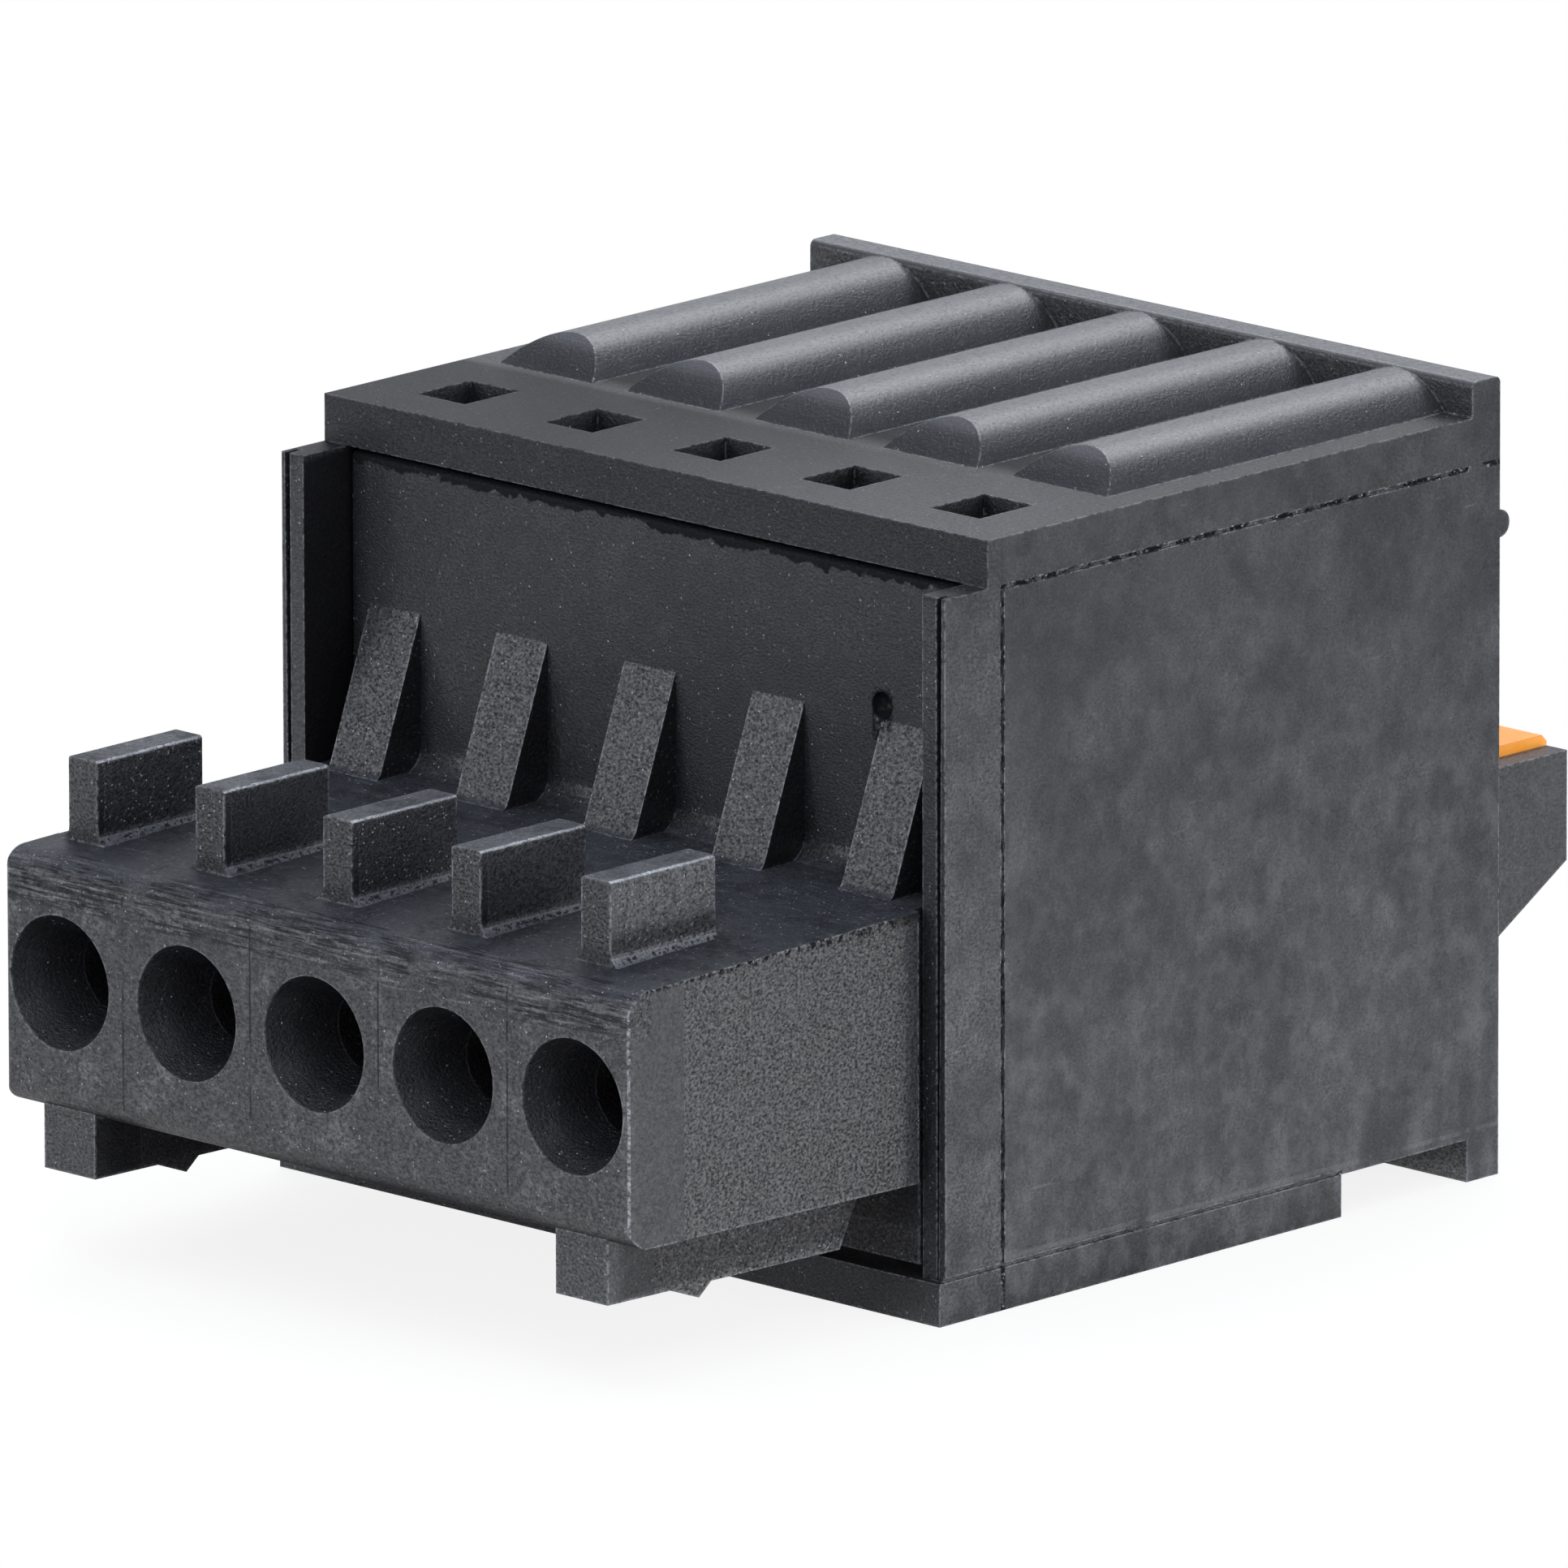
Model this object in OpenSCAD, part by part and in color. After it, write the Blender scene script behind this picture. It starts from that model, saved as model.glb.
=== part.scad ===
// Pluggable terminal block: a spring-clamp plug with a female contact in each pole.
// X runs along the row of poles, -Y points the way the plug is pushed in, +Z is up.
// Every length along Y is counted from the nose's front face, then the whole plug is centred.

/* [Poles] */
// Number of poles
poles = 5; // [3:1:8]
// Distance between neighbouring poles
pitch = 2.5; // [2.5:0.05:3.5]

/* [Housing] */
// Width of the housing beyond the row of poles, at each side
side_margin = 0.2; // [0.15:0.05:1]
// Length from the side walls' front edges to the back face
housing_len = 11.42; // [11.2:0.02:14]
// Height from the base to the top face
housing_h = 11.13; // [10.9:0.01:13]
// Thickness of the top slab
slab_t = 0.69; // [0.5:0.01:0.9]
// Thickness of each side wall at the mouth
side_wall_t = 0.43; // [0.35:0.01:0.6]
// Thickness of the base plate
plate_t = 0.62; // [0.5:0.01:0.8]
// Length of the base plate
plate_len = 8.26; // [7:0.02:9.5]
// How far the base plate leads the side walls
plate_lead = 0.12; // [0.05:0.01:0.3]
// Depth of the open mouth, from the side walls' front edges to the slab's front face
mouth_depth = 0.87; // [0.5:0.01:1.2]
// Thickness of the foot at the back
foot_t = 0.66; // [0.5:0.01:0.9]
// Thickness of the lip along the top of the back
lip_t = 0.58; // [0.4:0.01:0.9]
// Height of the lip above the top face
lip_rise = 0.52; // [0.5:0.01:0.9]
// Radius of the lip's rounded edges
lip_edge_r = 0.1; // [0.05:0.01:0.2]
// Depth of solid wall between the clamp chambers and the back face
back_wall_t = 1.5; // [1.2:0.05:2]
// Width of the test window above each pole
window_w = 0.95; // [0.6:0.05:1.1]
// Length of each test window
window_len = 1.1; // [0.6:0.05:1.4]
// Distance from the slab's front face to the test windows
window_setback = 0.87; // [0.5:0.01:1.2]
// Distance from the side walls' front edges to the side panel's seam
seam_setback = 1.14; // [0.9:0.02:2]
// Width of the seam around each side panel
seam_w = 0.06; // [0.04:0.01:0.1]
// Depth of the seam
seam_depth = 0.04; // [0.02:0.01:0.08]
// Thickness of the skin outside the groove in each side wall's front edge
skin_t = 0.16; // [0.1:0.01:0.2]
// Width of that groove at its top
groove_top_w = 0.1; // [0.03:0.01:0.1]
// Width of that groove at its foot
groove_foot_w = 0.03; // [0.02:0.01:0.06]
// Depth of that groove
groove_depth = 0.25; // [0.1:0.05:0.4]
// Radius of the small nubs on the back face
nub_r = 0.2; // [0.15:0.01:0.3]
// Height of the nubs above the base
nub_z = 9.5; // [7:0.05:10]

/* [Wire entries] */
// Radius of the bore that takes the insulated wire
wire_bore_r = 0.85; // [0.7:0.01:0.9]
// Radius of the wire entry's mouth
wire_mouth_r = 0.98; // [0.95:0.01:1.05]
// Length of the countersink at the mouth
wire_mouth_len = 0.5; // [0.3:0.05:0.8]
// Radius of the throat that only the bare conductor passes
throat_r = 0.6; // [0.45:0.01:0.65]
// Length of the cone down to the throat
throat_len = 0.4; // [0.3:0.05:0.6]
// Thickness of the housing over each wire bore
ridge_wall = 0.25; // [0.25:0.01:0.35]
// Height of the ridges over the wire bores above the top face
ridge_rise = 0.49; // [0.4:0.01:0.5]
// Distance by which each ridge starts ahead of its clamp chamber
ridge_lead = 0.7; // [0.5:0.05:0.9]
// Slope of each ridge's front end
ridge_slope = 38; // [30:1:60]

/* [Nose] */
// How far the nose stands out in front of the side walls
nose_proud = 5.98; // [5.6:0.02:7.5]
// Height of the pin openings' axis above the base
pin_z = 4.05; // [3.9:0.01:4.3]
// Height of the nose's front above the pins' axis
nose_above = 1.77; // [1.6:0.01:2.2]
// Depth of the nose's front below the pins' axis
nose_below = 1.92; // [1.6:0.01:2.1]
// Draft of the nose's top and underside
nose_draft = 1.2; // [0.5:0.1:1.5]
// Radius of the nose's rounded front edges at the top and bottom
nose_edge_r = 0.4; // [0.2:0.02:0.5]
// Radius of the nose's upright front edges
nose_corner_r = 0.12; // [0.05:0.01:0.3]
// Distance by which the nose's sides stand out over the rest of the carrier
nose_step = 0.14; // [0.05:0.01:0.2]
// Gap between the nose's sides and the side walls' front edges
nose_relief = 0.13; // [0.08:0.01:0.3]
// Length of the collar around the nose's front
collar_len = 1.1; // [0.6:0.05:1.5]
// Height of the fine step behind the collar
collar_step = 0.02; // [0.01:0.01:0.05]
// Radius of each pin funnel at the front face
funnel_r = 0.98; // [0.85:0.01:1.05]
// Length of each pin funnel
funnel_len = 1.1; // [0.8:0.05:1.4]
// Radius of the pin bore behind the funnel
pin_bore_r = 0.6; // [0.5:0.01:0.7]
// Length of the pin bore
pin_bore_len = 0.8; // [0.5:0.05:1]
// Gap around the contact carrier where it sits in the housing
insert_gap = 0.07; // [0.03:0.01:0.1]
// Distance by which the carrier's wall lies behind the slab's front face
wall_setback = 0.05; // [0.03:0.01:0.2]
// Length of the carrier inside the housing
carrier_depth = 3.65; // [3.4:0.05:4.2]
// Radius of the fillet between the carrier's wall and the nose
wall_fillet_r = 0.4; // [0.2:0.02:0.6]
// Radius of the rounded edge along the wall's top
wall_edge_r = 0.1; // [0.05:0.01:0.2]
// Height of the undercut at the carrier's foot
undercut_h = 0.18; // [0.1:0.01:0.3]
// Depth of that undercut
undercut_depth = 0.5; // [0.2:0.05:0.8]
// Depth of the wells under the test windows
well_depth = 1.2; // [0.5:0.1:2]

/* [Coding ribs and gussets] */
// Width of each coding rib
rib_w = 0.56; // [0.4:0.02:0.8]
// Length of each coding rib
rib_len = 2.1; // [1.2:0.05:3]
// Height of each coding rib
rib_h = 1.23; // [0.6:0.01:1.5]
// Distance from the nose's front face to the ribs
rib_setback = 0.95; // [0.7:0.01:1.5]
// Sideways offset of each rib from its pole
rib_offset = -0.45; // [-0.6:0.01:0.6]
// Radius of the fillets along the foot of each rib
rib_fillet_r = 0.22; // [0.05:0.01:0.3]
// Radius of each rib's rounded edges
rib_edge_r = 0.05; // [0.02:0.01:0.1]
// Width of each gusset
gusset_w = 1; // [0.6:0.05:1.4]
// Height of each gusset above the nose
gusset_h = 2.25; // [1.5:0.01:3.5]
// Depth of each gusset at its foot
gusset_depth = 0.86; // [0.5:0.01:1.1]
// Sideways offset of each gusset from its pole
gusset_offset = -0.12; // [-0.5:0.01:0.5]
// Radius of the fillet at the toe of each gusset
gusset_fillet_r = 0.2; // [0.1:0.01:0.3]
// Radius of the ejector mark beside the last gusset
mark_r = 0.2; // [0.1:0.01:0.3]

/* [Latch legs] */
// Width of each latch leg
leg_w = 1; // [0.6:0.05:1.4]
// Depth of each leg below the nose
leg_drop = 0.88; // [0.5:0.01:1.1]
// Distance from the nose's front face to the legs
leg_setback = 0.18; // [0.1:0.01:0.6]
// Length of each leg along its underside
leg_len = 4.66; // [3.5:0.01:5]
// Length of the slope at each leg's rear end
leg_slope = 0.45; // [0.1:0.05:0.6]
// Distance from a leg's front to its catch
catch_setback = 1.26; // [0.6:0.02:1.8]
// Depth of the catch below the leg
catch_depth = 0.2; // [0.1:0.01:0.3]
// Length of the catch's lead-in ramp
catch_ramp = 0.56; // [0.4:0.02:0.8]
// Length of the catch's release slope
catch_release = 0.25; // [0.1:0.01:0.5]

/* [Release buttons] */
// Width of each release button
button_w = 1.52; // [1.2:0.02:1.6]
// Height of the button's stem
button_h = 1.26; // [1:0.02:1.5]
// Height of the button's head, which the back wall holds captive
button_head_h = 3.26; // [2.8:0.02:3.6]
// Length of the button's head
button_head_len = 2; // [1.8:0.05:2.2]
// How far a button travels when it is pressed
button_travel = 0.9; // [0.6:0.05:1]
// How far a button stands proud of its tray
button_proud = 0.05; // [0:0.01:0.4]
// Running gap around a button
button_gap = 0.04; // [0.02:0.01:0.06]
// Chamfer around the button's outer end
button_chamfer = 0.1; // [0.05:0.01:0.2]
// Width of the blade slot in the button's end
slot_w = 0.9; // [0.5:0.05:1.1]
// Height of the blade slot
slot_h = 0.36; // [0.2:0.02:0.6]
// Depth of the blade slot
slot_depth = 0.3; // [0.15:0.05:0.5]
// Height of the tray's floor above the base
tray_floor_z = 4.7; // [4.5:0.01:5]
// How far the tray stands out of the back face
tray_len = 1.7; // [1:0.02:2.5]
// Height of the tray's walls above its floor
tray_wall_h = 1.15; // [0.8:0.01:1.25]
// Thickness of the tray's floor at its outer end
tray_floor_t = 0.46; // [0.35:0.01:0.7]
// Slope of the tray's underside
tray_slope = 31; // [20:1:45]
// Inset of the tray from the housing's sides
tray_inset = 0.25; // [0.1:0.01:0.4]

/* [Metal parts] */
// Thickness of the current bar
bar_t = 0.2; // [0.15:0.01:0.25]
// Width of the current bar
bar_w = 1.2; // [1:0.02:1.24]
// Length of the current bar's foot inside the carrier
bar_foot = 2.4; // [1.8:0.05:3]
// Length of the current bar's tab over the conductor
bar_tab = 1.75; // [1.2:0.05:2]
// Diameter of the largest bare conductor
conductor_d = 0.8; // [0.5:0.02:0.9]
// Thickness of the clamp spring
spring_t = 0.2; // [0.12:0.01:0.22]
// Width of the clamp spring
spring_w = 1.3; // [0.9:0.05:1.35]
// Height of the clamp spring's bend above the chamber's floor
spring_lift = 0.5; // [0.3:0.05:0.8]
// Outside width and height of the contact socket
socket_w = 1.6; // [1.5:0.02:1.64]
// Thickness of the contact socket's sheet
socket_t = 0.15; // [0.1:0.01:0.18]
// Length of the contact socket's box
socket_len = 5.3; // [4.6:0.05:5.6]
// Gap between the socket's two contact tongues
tongue_gap = 0.72; // [0.7:0.01:0.8]
// Width of each contact tongue
tongue_w = 0.9; // [0.6:0.05:1]
// Length over which the tongues grip the pin
tongue_grip = 0.8; // [0.4:0.1:1.2]
// Distance from the ends of the socket's box to the tongues' roots
tongue_inset = 0.3; // [0.2:0.05:0.6]
// Clearance around the metal parts in their chambers
metal_gap = 0.05; // [0.03:0.01:0.08]

/* [Hidden] */

$fn = 48;
// Overlap that keeps cuts and joins clean
eps = 0.02;
// Depth by which a rib or leg is rooted in what carries it
root = 0.1;
// Overshoot of a cut that runs out into the open
over = 1;
// Facets in a quarter turn of an extruded outline's rounding
arc_steps = 8;

black = [0.09, 0.095, 0.1];
orange = [0.93, 0.43, 0.05];
steel = [0.72, 0.73, 0.75];
tinned = [0.8, 0.8, 0.78];

// Places across the row
housing_half = poles * pitch / 2 + side_margin;
mouth_half = housing_half - side_wall_t;
carrier_half = mouth_half - insert_gap;
nose_half = carrier_half + nose_step;

// Places along the plug, from the nose's front face
side_y = nose_proud;
nose_end_y = side_y - nose_relief;
slab_y = side_y + mouth_depth;
wall_y = slab_y + wall_setback;
chamber_y = wall_y + carrier_depth;
back_y = side_y + housing_len;
chamber_end_y = back_y - back_wall_t;
plate_y = side_y - plate_lead;
tray_y = back_y + tray_len;
plug_len = tray_y + button_proud;

// Heights above the base
function nose_top(y) = pin_z + nose_above + (y - nose_edge_r) * tan(nose_draft);
function nose_bottom(y) = pin_z - nose_below - (y - nose_edge_r) * tan(nose_draft);
function leg_bottom(y) = nose_bottom(y) - leg_drop;
wall_foot_z = nose_top(wall_y);
slab_bottom_z = housing_h - slab_t;
ridge_r = wire_bore_r + ridge_wall;
wire_z = housing_h + ridge_rise - ridge_r;
roof_z = wire_z - ridge_r;
tray_top_z = tray_floor_z + tray_wall_h;
button_z = tray_floor_z + button_gap;

// Clamp chamber, clamp spring and the head of the button that works it
chamber_half = button_w / 2 + 2 * button_gap;
button_front_y = chamber_end_y - button_gap - button_head_len;
bend_room = button_front_y - button_travel - button_gap - (chamber_y + bar_t);
bend_r = (bend_room - spring_t) / 2;
bend = [chamber_y + bar_t + spring_t / 2 + bend_r, tray_floor_z + spring_lift + bend_r];
knee = [button_front_y - spring_t, button_z + button_head_h - 2 * spring_t];
tab_z = wire_z + conductor_d / 2;
tip = [bend[0], tab_z - spring_t];
roof_y = knee[0] + (tip[0] - knee[0]) * (roof_z - knee[1]) / (tip[1] - knee[1]) + 2 * spring_t;

// Contact chamber in the carrier
contact_half = socket_w / 2 + metal_gap;
socket_y = funnel_len + pin_bore_len + metal_gap;
socket_bottom_z = pin_z - socket_w / 2;
foot_z = socket_bottom_z + socket_t;

function pole_x(i) = (i - (poles + 1) / 2) * pitch;

// Points of an arc about c from angle a to angle b
function arc(c, r, a, b, n = arc_steps) =
    [for (k = [0 : n]) c + r * [cos(a + (b - a) * k / n), sin(a + (b - a) * k / n)]];

// Outline of a strip of thickness t along a path, mitred at its corners
function unit(v) = v / norm(v);
function side_of(v) = [-v[1], v[0]];
function miter(path, k) =
    let (
        last = len(path) - 1,
        before = unit(path[max(k, 1)] - path[max(k, 1) - 1]),
        after = unit(path[min(k, last - 1) + 1] - path[min(k, last - 1)]),
        middle = unit(side_of(before) + side_of(after))
    )
    middle / (middle * side_of(after));
function strip(path, t) = concat(
    [for (k = [0 : len(path) - 1]) path[k] + miter(path, k) * t / 2],
    [for (k = [len(path) - 1 : -1 : 0]) path[k] - miter(path, k) * t / 2]
);

// Centres the plug's length on the origin
module placed() {
    translate([0, -plug_len / 2, 0]) children();
}

module each_pole() {
    for (i = [1 : poles]) translate([pole_x(i), 0, 0]) children();
}

module both_sides() {
    for (side = [0, 1]) mirror([side, 0, 0]) children();
}

// A box between two corners
module block(low, high) {
    translate(low) cube(high - low);
}

// A side view, drawn as [y, z], given a width across the row
module across(width) {
    rotate([90, 0, 90]) linear_extrude(width, center = true) children();
}

// A front view, drawn as [x, z], run from y0 to y1
module along(y0, y1) {
    translate([0, y1, 0]) rotate([90, 0, 0]) linear_extrude(y1 - y0) children();
}

// A round bar or cone from y0 to y1 at height z
module round_y(y0, y1, z, r0, r1) {
    translate([0, y0, z]) rotate([-90, 0, 0]) cylinder(h = y1 - y0, r1 = r0, r2 = r1);
}

// ---- Housing ----

module housing_outline() {
    r = lip_edge_r;
    lip_y = back_y - lip_t;
    foot_y = back_y - foot_t;
    edge_z = housing_h + lip_rise - r;
    plate_end_y = plate_y + plate_len;
    polygon(concat(
        [[slab_y, slab_bottom_z], [slab_y, housing_h], [lip_y, housing_h]],
        arc([lip_y + r, edge_z], r, 180, 90),
        arc([back_y - r, edge_z], r, 90, 0),
        [[back_y, 0], [foot_y, 0], [foot_y, plate_t]],
        [[plate_end_y, plate_t], [plate_end_y, 0], [plate_y, 0], [plate_y, plate_t]],
        [[side_y, plate_t], [side_y, slab_bottom_z]]
    ));
}

// Half-round cover over a wire bore, with its sloping front end
module ridge() {
    start_y = chamber_y - ridge_lead;
    top_z = housing_h + ridge_rise + eps;
    end_y = back_y - lip_t / 2;
    intersection() {
        round_y(start_y - ridge_r, end_y, wire_z, ridge_r, ridge_r);
        across(2 * ridge_r + eps) polygon([
            [start_y, housing_h - root], [start_y, housing_h],
            [start_y + (top_z - housing_h) / tan(ridge_slope), top_z],
            [end_y, top_z], [end_y, housing_h - root]
        ]);
    }
}

// Shelf on the back face that carries and guides the release buttons
module tray() {
    end_z = tray_floor_z - tray_floor_t;
    root_y = back_y - back_wall_t / 2;
    across(2 * (housing_half - tray_inset)) polygon([
        [root_y, tray_top_z], [tray_y, tray_top_z], [tray_y, end_z],
        [root_y, end_z - (tray_y - root_y) * tan(tray_slope)]
    ]);
}

// Clamp chamber, wire entry and button opening of one pole
module pole_cavity() {
    block(
        [-chamber_half, chamber_y - eps, tray_floor_z],
        [chamber_half, chamber_end_y, roof_z - ridge_wall]
    );
    block(
        [-bar_w / 2 - 2 * metal_gap, chamber_y - eps, roof_z - 2 * ridge_wall],
        [bar_w / 2 + 2 * metal_gap, roof_y, tab_z + bar_t + metal_gap]
    );
    block(
        [-bar_w / 2 - metal_gap, chamber_y - eps, foot_z - metal_gap],
        [bar_w / 2 + metal_gap, chamber_y + bar_t + metal_gap, tray_floor_z + eps]
    );
    round_y(roof_y - eps, roof_y + throat_len, wire_z, throat_r, wire_bore_r);
    round_y(roof_y + throat_len, back_y, wire_z, wire_bore_r, wire_bore_r);
    round_y(back_y - wire_mouth_len, back_y + eps, wire_z, wire_bore_r, wire_mouth_r);
    button_opening();
}

module button_opening() {
    half = button_w / 2 + button_gap;
    top_z = button_z + button_h + button_gap;
    block([-half, chamber_end_y - eps, tray_floor_z], [half, back_y + eps, top_z]);
    block([-half, back_y, tray_floor_z], [half, tray_y + over, tray_top_z + over]);
}

module test_window() {
    y0 = slab_y + window_setback;
    block([-window_w / 2, y0, slab_bottom_z - over], [window_w / 2, y0 + window_len, housing_h + over]);
}

// Witness line of the mould around the panel on one side
module side_seam() {
    front_y = side_y + seam_setback;
    top_z = slab_bottom_z;
    low_z = plate_t;
    x = housing_half - seam_depth;
    block([x, front_y, low_z], [x + over, front_y + seam_w, top_z]);
    block([x, front_y, top_z - seam_w], [x + over, back_y - foot_t, top_z]);
    block([x, plate_y - over, low_z], [x + over, plate_y + plate_len + eps, low_z + seam_w]);
}

// Tapering groove between the inner wall and the outer skin in a side wall's front edge
module edge_groove() {
    x = housing_half - skin_t;
    along(side_y - eps, side_y + groove_depth) polygon([
        [x, plate_t], [x, slab_bottom_z + eps],
        [x + groove_top_w, slab_bottom_z + eps], [x + groove_foot_w, plate_t]
    ]);
}

module back_nub() {
    width = side_wall_t;
    translate([housing_half - width, back_y, nub_z]) rotate([0, 90, 0]) cylinder(h = width, r = nub_r);
}

module housing() {
    color(black) placed() difference() {
        union() {
            across(2 * housing_half) housing_outline();
            each_pole() ridge();
            tray();
            both_sides() back_nub();
        }
        block([-mouth_half, 0, plate_t], [mouth_half, chamber_y, slab_bottom_z]);
        each_pole() pole_cavity();
        each_pole() test_window();
        both_sides() side_seam();
        both_sides() edge_groove();
    }
}

// ---- Contact carrier ----

// Side view of the nose and its neck: drafted top and underside, rounded at the two front edges
module nose_outline() {
    r = nose_edge_r;
    end_y = wall_y + eps;
    polygon(concat(
        arc([r, nose_bottom(r) + r], r, 270, 180),
        arc([r, nose_top(r) - r], r, 180, 90),
        [[end_y, nose_top(end_y)], [end_y, nose_bottom(end_y)]]
    ));
}

// Plan of the right half, as [x, y]: rounded corner, collar, fine step, side and neck
module nose_plan() {
    r = nose_corner_r;
    end_y = wall_y + eps;
    side_x = nose_half - collar_step;
    polygon(concat(
        [[-eps, end_y], [-eps, 0]],
        arc([nose_half - r, r], r, 270, 360),
        [[nose_half, collar_len], [side_x, collar_len], [side_x, nose_end_y]],
        [[carrier_half, nose_end_y], [carrier_half, end_y]]
    ));
}

module nose() {
    intersection() {
        across(2 * nose_half + eps) nose_outline();
        both_sides() linear_extrude(housing_h) nose_plan();
    }
}

// Side view of the carrier behind the nose: filleted wall, chamber block and undercut foot
module body_outline() {
    top_z = slab_bottom_z - insert_gap;
    fillet_y = wall_y - wall_fillet_r;
    cut_y = side_y + undercut_depth;
    cut_z = plate_t + undercut_h;
    polygon(concat(
        [[side_y, pin_z], [fillet_y, pin_z]],
        arc([fillet_y, nose_top(fillet_y) + wall_fillet_r - eps], wall_fillet_r, 270, 360),
        arc([wall_y + wall_edge_r, top_z - wall_edge_r], wall_edge_r, 180, 90),
        [[chamber_y, top_z], [chamber_y, plate_t], [cut_y, plate_t], [cut_y, cut_z], [side_y, cut_z]]
    ));
}

// Front view of a coding rib: rounded top, and concave fillets along its foot
module rib_outline() {
    r = rib_fillet_r;
    e = rib_edge_r;
    half = rib_w / 2;
    z = nose_top(rib_setback) - eps;
    top_z = pin_z + nose_above + rib_h;
    polygon(concat(
        [[-half - r, z - root]],
        arc([-half - r, z + r], r, 270, 360),
        arc([e - half, top_z - e], e, 180, 90),
        arc([half - e, top_z - e], e, 90, 0),
        arc([half + r, z + r], r, 180, 270),
        [[half + r, z - root]]
    ));
}

module coding_rib() {
    translate([rib_offset, 0, 0]) along(rib_setback, rib_setback + rib_len) rib_outline();
}

// Sloping rib between the nose and the wall, filleted at its toe
module gusset() {
    slope = atan2(gusset_h, gusset_depth);
    toe_y = wall_y - gusset_depth - gusset_fillet_r * tan(slope / 2);
    toe_z = nose_top(toe_y) - eps;
    top_z = wall_foot_z + gusset_h;
    translate([gusset_offset, 0, 0]) across(gusset_w) polygon(concat(
        [[wall_y + eps, toe_z - root], [wall_y + eps, top_z], [wall_y, top_z]],
        arc([toe_y, toe_z + gusset_fillet_r], gusset_fillet_r, 270 + slope, 270),
        [[toe_y, toe_z - root]]
    ));
}

// Rail under an outer pole, with the catch that snaps behind the header's edge
module latch_leg() {
    end_y = leg_setback + leg_len;
    ramp_y = leg_setback + catch_setback;
    catch_y = ramp_y + catch_ramp;
    release_y = catch_y + catch_release;
    across(leg_w) polygon([
        [leg_setback, nose_bottom(0) + nose_edge_r], [leg_setback, leg_bottom(leg_setback)],
        [ramp_y, leg_bottom(ramp_y)], [catch_y, leg_bottom(catch_y) - catch_depth],
        [release_y, leg_bottom(release_y)], [end_y, leg_bottom(end_y)],
        [end_y + leg_slope, nose_bottom(end_y)], [end_y + leg_slope, nose_bottom(0) + nose_edge_r]
    ]);
}

// Funnel, bore and contact chamber of one pole
module contact_cavity() {
    round_y(-eps, funnel_len, pin_z, funnel_r, pin_bore_r);
    round_y(funnel_len - eps, funnel_len + pin_bore_len + eps, pin_z, pin_bore_r, pin_bore_r);
    block(
        [-contact_half, funnel_len + pin_bore_len, pin_z - contact_half],
        [contact_half, chamber_y + eps, pin_z + contact_half]
    );
}

module window_well() {
    y0 = slab_y + window_setback;
    block([-window_w / 2, y0, slab_bottom_z - well_depth], [window_w / 2, y0 + window_len, slab_bottom_z]);
}

module ejector_mark() {
    x = pole_x(poles) + gusset_offset - gusset_w / 2;
    translate([x, wall_y, wall_foot_z + gusset_h + mark_r]) sphere(r = mark_r);
}

module contact_carrier() {
    color(black) placed() difference() {
        union() {
            nose();
            across(2 * carrier_half) body_outline();
            each_pole() coding_rib();
            each_pole() gusset();
            for (i = [1, poles]) translate([pole_x(i), 0, 0]) latch_leg();
        }
        each_pole() contact_cavity();
        each_pole() window_well();
        ejector_mark();
    }
}

// ---- Release buttons ----

module release_button(i) {
    h = button_z + button_h;
    c = button_chamfer;
    color(orange) placed() translate([pole_x(i), 0, 0]) difference() {
        across(button_w) polygon([
            [button_front_y, button_z], [plug_len - c, button_z], [plug_len, button_z + c],
            [plug_len, h - c], [plug_len - c, h],
            [button_front_y + button_head_len, h],
            [button_front_y + button_head_len, button_z + button_head_h],
            [button_front_y, button_z + button_head_h]
        ]);
        block(
            [-slot_w / 2, plug_len - slot_depth, (button_z + h - slot_h) / 2],
            [slot_w / 2, plug_len + over, (button_z + h + slot_h) / 2]
        );
    }
}

// ---- Metal parts ----

// Bent strip: a leg on the current bar, the bend, a knee for the button and a tip for the wire
module clamp_spring(i) {
    fixed_y = chamber_y + bar_t + spring_t / 2;
    path = concat(
        [[fixed_y, roof_z]],
        arc(bend, bend_r, 180, 360, 2 * arc_steps),
        [knee, tip]
    );
    color(steel) placed() translate([pole_x(i), 0, 0]) across(spring_w) polygon(strip(path, spring_t));
}

// Foot on the socket's tail, a leg up the back of the carrier and a tab over the conductor
module current_bar(i) {
    y = chamber_y + bar_t / 2;
    z = foot_z + bar_t / 2;
    path = [
        [y - bar_foot, z], [y, z],
        [y, tab_z + bar_t / 2], [y + bar_tab, tab_z + bar_t / 2]
    ];
    color(tinned) placed() translate([pole_x(i), 0, 0]) across(bar_w) polygon(strip(path, bar_t));
}

// Folded box with two inner tongues that grip the pin, and a tail welded to the current bar
module contact_socket(i) {
    half = socket_w / 2;
    inner = half - socket_t;
    grip_z = (tongue_gap + socket_t) / 2;
    tongue = [
        [tongue_inset, inner], [(socket_len - tongue_grip) / 2, grip_z],
        [(socket_len + tongue_grip) / 2, grip_z], [socket_len - tongue_inset, inner]
    ];
    color(tinned) placed() translate([pole_x(i), socket_y, pin_z]) {
        difference() {
            block([-half, 0, -half], [half, socket_len, half]);
            block([-inner, -over, -inner], [inner, socket_len + over, inner]);
        }
        for (side = [0, 1]) mirror([0, 0, side]) across(tongue_w) polygon(strip(tongue, socket_t));
        block(
            [-bar_w / 2, socket_len - eps, -half],
            [bar_w / 2, chamber_y - bar_foot / 2 - socket_y, -half + socket_t]
        );
    }
}

housing();
contact_carrier();
for (i = [1 : poles]) {
    release_button(i);
    clamp_spring(i);
    current_bar(i);
    contact_socket(i);
}
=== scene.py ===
"""Pluggable terminal block: finishes, mould marks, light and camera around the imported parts."""

import math

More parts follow.
